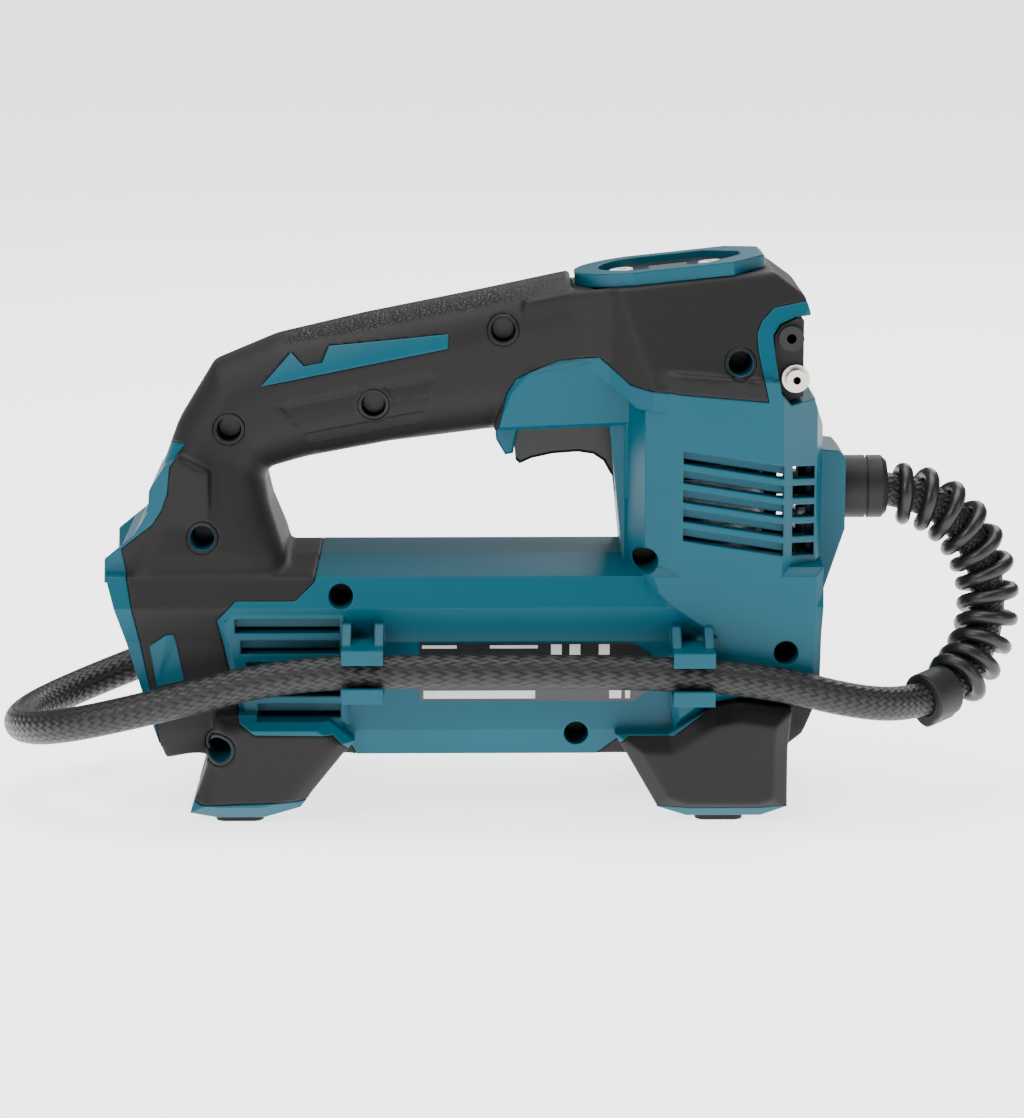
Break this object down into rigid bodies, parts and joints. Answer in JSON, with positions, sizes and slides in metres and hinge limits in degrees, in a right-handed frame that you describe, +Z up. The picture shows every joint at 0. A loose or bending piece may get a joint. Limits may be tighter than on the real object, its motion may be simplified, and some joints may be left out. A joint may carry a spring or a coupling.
{
  "type": "cordless hand-held air pump",
  "caption": "Cordless hand-held air pump with a pistol-style handle loop, top display, piston compressor, braided hose stored round the body and clipped-in adapters.",
  "frame": {"origin": "middle of the footprint on the floor, measured without the hose and what is on it", "axes": "+X forwards to the hose outlet, +Y to the tool's left side, +Z up"},
  "size_m": [0.3905, 0.127, 0.2112],
  "materials": {
    "teal_nylon": "satin moulded",
    "soft_grip": "fine matt texture",
    "black_plastic": "satin",
    "display_film": "smooth",
    "lcd": "smooth",
    "white_key": "smooth",
    "board": "solder mask",
    "steel": "machined",
    "spring_steel": "drawn wire",
    "copper": "bright",
    "alloy": "die cast",
    "nickel": "nickel plated",
    "black_rubber": "matt",
    "braid": "braided",
    "label_film": "smooth",
    "blackened_steel": "black oxide",
    "seal": "smooth"
  },
  "bodies": {
    "pump_body": {"housing_right": "teal_nylon", "housing_left": "teal_nylon", "grip_right": "soft_grip", "grip_left": "soft_grip", "front_foot_cover_right": "soft_grip", "front_foot_cover_left": "soft_grip", "display_bezel": "teal_nylon", "display_panel": "display_film", "lcd_module": "lcd", "control_board": "board", "trigger_spring": "spring_steel", "trigger_switch": "black_plastic", "terminal_block": "black_plastic", "terminal_contacts": "copper", "motor_can": "steel", "motor_end_cap": "black_plastic", "gear_bearing": "steel", "gear_frame": "alloy", "cylinder": "alloy", "cylinder_head": "alloy", "head_screws": "blackened_steel", "pressure_sensor": "black_plastic", "air_tube": "black_rubber", "hose_gland": "black_rubber", "hose": "braid", "bend_guard": "black_rubber", "hose_collar": "black_rubber", "chuck_body": "black_plastic", "chuck_pin": "nickel", "chuck_seal": "seal", "accessory_holder": "black_rubber", "foot_pads": "black_rubber", "housing_screws": "blackened_steel", "rating_label": "label_film"},
    "trigger_body": {"trigger": "black_plastic"},
    "power_key": {"power_button": "white_key"},
    "unit_key": {"unit_button": "white_key"},
    "rotor": {"armature": "steel", "cooling_fan": "black_plastic", "motor_pinion": "steel"},
    "crank": {"crank_gear": "steel"},
    "piston": {"piston_rod": "alloy", "piston_seal": "seal"},
    "lever": {"chuck_lever": "nickel"},
    "nozzle": {"tapered_nozzle": "black_plastic"},
    "adapter": {"presta_adapter": "nickel"},
    "needle": {"ball_needle": "nickel"}
  },
  "joints": [
    {"name": "trigger_pull", "type": "slide", "parent": "pump_body", "child": "trigger_body", "axis": [-0.1564, 0, 0.9877], "range_m": [0, 0.005], "stiffness_N_per_m": 300, "springref_m": -0.003, "deforming": ["trigger_spring"]},
    {"name": "power_press", "type": "slide", "parent": "pump_body", "child": "power_key", "axis": [0.1063, 0, -0.9943], "range_m": [0, 0.0008], "stiffness_N_per_m": 500, "springref_m": -0.0006},
    {"name": "unit_press", "type": "slide", "parent": "pump_body", "child": "unit_key", "axis": [0.1063, 0, -0.9943], "range_m": [0, 0.0008], "stiffness_N_per_m": 500, "springref_m": -0.0006},
    {"name": "rotor_spin", "type": "hinge", "parent": "pump_body", "child": "rotor", "pos_m": [0.062, 0, 0.073], "axis": [1, 0, 0], "continuous": true},
    {"name": "crank_spin", "type": "hinge", "parent": "pump_body", "child": "crank", "pos_m": [0.071, 0, 0.0502], "axis": [1, 0, 0], "continuous": true},
    {"name": "piston_stroke", "type": "slide", "parent": "pump_body", "child": "piston", "axis": [0, 0, 1], "range_m": [-0.012, 0]},
    {"name": "lever_flip", "type": "hinge", "parent": "pump_body", "child": "lever", "pos_m": [0.042, 0.054, 0.069], "axis": [0, 1, 0], "range_deg": [-85, 0]},
    {"name": "nozzle_pull", "type": "slide", "parent": "pump_body", "child": "nozzle", "axis": [0, -1, 0], "range_m": [0, 0.035]},
    {"name": "adapter_pull", "type": "slide", "parent": "pump_body", "child": "adapter", "axis": [0, -1, 0], "range_m": [0, 0.035]},
    {"name": "needle_pull", "type": "slide", "parent": "pump_body", "child": "needle", "axis": [0, 1, 0], "range_m": [0, 0.045]}
  ],
  "couplings": [
    {"joint": "crank_spin", "follows": "rotor_spin", "ratio": -0.26667}
  ]
}
